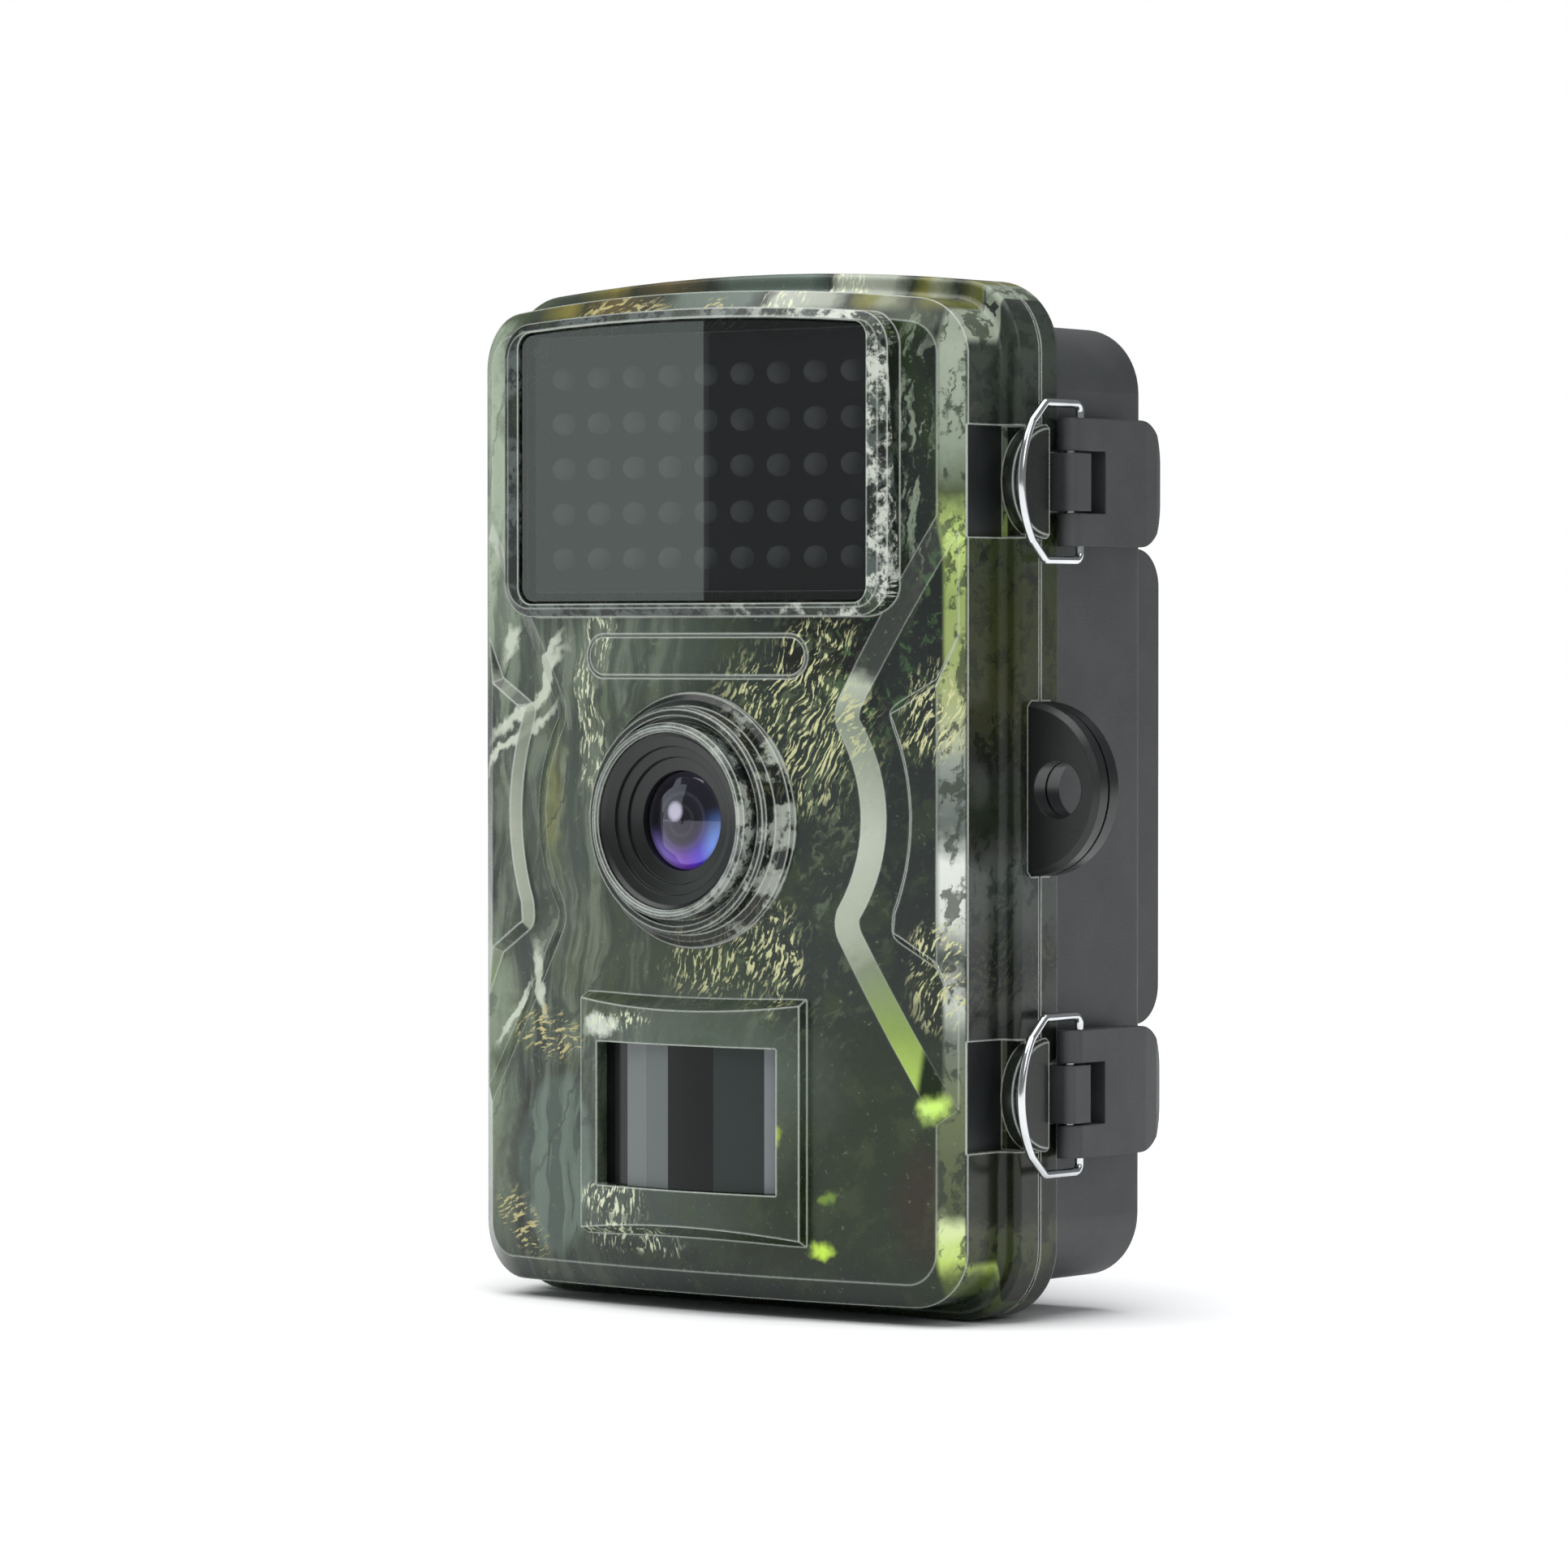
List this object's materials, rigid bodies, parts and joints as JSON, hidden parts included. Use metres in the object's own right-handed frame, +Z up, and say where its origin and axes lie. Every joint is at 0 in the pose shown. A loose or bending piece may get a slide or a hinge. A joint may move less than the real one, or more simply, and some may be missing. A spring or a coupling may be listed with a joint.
{
  "type": "trail camera",
  "caption": "Weatherproof trail camera: hinged camouflage door with lens, infrared window and motion sensor, a rear battery case with strap bracket, side draw latches and padlock ears.",
  "frame": {"origin": "on the resting plane, in the middle of the case's width, at the parting plane of its two halves", "axes": "+X to the latch side, +Y to the rear (the lens looks along -Y), +Z up"},
  "size_m": [0.1, 0.055, 0.1352],
  "materials": {
    "camo_plastic": "satin forest camouflage print",
    "grey_plastic": "fine matte texture",
    "black_plastic": "matte black",
    "smoked_window": "glossy, nearly opaque",
    "pir_window": "glossy dark lens",
    "coated_glass": "purple anti-reflection coating",
    "led_resin": "clear moulded domes",
    "steel_wire": "polished",
    "steel": "plain bright steel",
    "seal_rubber": "matte",
    "brass": "turned",
    "circuit_board": "solder mask",
    "sensor_chip": "glass lid",
    "cell_wrap": "printed sleeve without text",
    "button_rubber": "soft grey keys",
    "screen": "dark, switched off",
    "screen_glass": "clear",
    "card_plastic": "plain black"
  },
  "bodies": {
    "rear_case": {"rear_shell": "grey_plastic", "strap_bracket": "grey_plastic", "door_gasket": "seal_rubber", "hinge_pins": "steel", "latch_pins": "steel", "bracket_screws": "steel", "tripod_insert": "brass", "dc_jack": "black_plastic", "battery_tray": "grey_plastic", "battery_cells": "cell_wrap", "battery_springs": "steel", "battery_contacts": "steel"},
    "door": {"front_shell": "camo_plastic", "led_window": "smoked_window", "led_board": "circuit_board", "ir_leds": "led_resin", "lens_ring": "camo_plastic", "lens_barrel": "black_plastic", "lens_front_element": "coated_glass", "lens_iris": "black_plastic", "lens_rear_element": "coated_glass", "lens_mount": "black_plastic", "image_sensor": "sensor_chip", "pir_lens": "pir_window", "pir_sensor": "steel", "main_board": "circuit_board", "inner_cover": "black_plastic", "lcd_panel": "screen", "lcd_window": "screen_glass", "switch_body": "black_plastic", "card_slot": "steel", "usb_port": "steel", "key_domes": "steel"},
    "upper_lever": {"latch_lever_upper": "grey_plastic"},
    "upper_bail": {"latch_bail_upper": "steel_wire"},
    "lower_lever": {"latch_lever_lower": "grey_plastic"},
    "lower_bail": {"latch_bail_lower": "steel_wire"},
    "power_switch": {"power_switch": "button_rubber"},
    "memory_card": {"memory_card": "card_plastic"},
    "jack_cover": {"jack_cover": "seal_rubber"},
    "button_up": {"button_up": "button_rubber"},
    "button_down": {"button_down": "button_rubber"},
    "button_left": {"button_left": "button_rubber"},
    "button_right": {"button_right": "button_rubber"},
    "button_ok": {"button_ok": "button_rubber"},
    "button_menu": {"button_menu": "button_rubber"},
    "button_shot": {"button_shot": "button_rubber"}
  },
  "joints": [
    {"name": "door_hinge", "type": "hinge", "parent": "rear_case", "child": "door", "pos_m": [-0.044, 0, 0.0675], "axis": [0, 0, -1], "range_deg": [0, 165]},
    {"name": "upper_lever_hinge", "type": "hinge", "parent": "rear_case", "child": "upper_lever", "pos_m": [0.0452, 0.0029, 0.1075], "axis": [0, 0, -1], "range_deg": [0, 130]},
    {"name": "upper_bail_hinge", "type": "hinge", "parent": "upper_lever", "child": "upper_bail", "pos_m": [0.04575, 0.0044, 0.1075], "axis": [0, 0, -1], "range_deg": [-150, 0]},
    {"name": "lower_lever_hinge", "type": "hinge", "parent": "rear_case", "child": "lower_lever", "pos_m": [0.0452, 0.0029, 0.0292], "axis": [0, 0, -1], "range_deg": [0, 130]},
    {"name": "lower_bail_hinge", "type": "hinge", "parent": "lower_lever", "child": "lower_bail", "pos_m": [0.04575, 0.0044, 0.0292], "axis": [0, 0, -1], "range_deg": [-150, 0]},
    {"name": "button_up_press", "type": "slide", "parent": "door", "child": "button_up", "axis": [0, -1, 0], "range_m": [0, 0.0006], "stiffness_N_per_m": 400},
    {"name": "button_down_press", "type": "slide", "parent": "door", "child": "button_down", "axis": [0, -1, 0], "range_m": [0, 0.0006], "stiffness_N_per_m": 400},
    {"name": "button_left_press", "type": "slide", "parent": "door", "child": "button_left", "axis": [0, -1, 0], "range_m": [0, 0.0006], "stiffness_N_per_m": 400},
    {"name": "button_right_press", "type": "slide", "parent": "door", "child": "button_right", "axis": [0, -1, 0], "range_m": [0, 0.0006], "stiffness_N_per_m": 400},
    {"name": "button_ok_press", "type": "slide", "parent": "door", "child": "button_ok", "axis": [0, -1, 0], "range_m": [0, 0.0006], "stiffness_N_per_m": 400},
    {"name": "button_menu_press", "type": "slide", "parent": "door", "child": "button_menu", "axis": [0, -1, 0], "range_m": [0, 0.0006], "stiffness_N_per_m": 400},
    {"name": "button_shot_press", "type": "slide", "parent": "door", "child": "button_shot", "axis": [0, -1, 0], "range_m": [0, 0.0006], "stiffness_N_per_m": 400},
    {"name": "power_switch_slide", "type": "slide", "parent": "door", "child": "power_switch", "axis": [1, 0, 0], "range_m": [0, 0.006]},
    {"name": "memory_card_slide", "type": "slide", "parent": "door", "child": "memory_card", "axis": [0, 0, -1], "range_m": [0, 0.0095]},
    {"name": "jack_cover_pull", "type": "slide", "parent": "rear_case", "child": "jack_cover", "axis": [0, 0, -1], "range_m": [0, 0.005]}
  ],
  "couplings": [
    {"joint": "upper_bail_hinge", "follows": "upper_lever_hinge", "ratio": -1.15},
    {"joint": "lower_bail_hinge", "follows": "lower_lever_hinge", "ratio": -1.15}
  ]
}
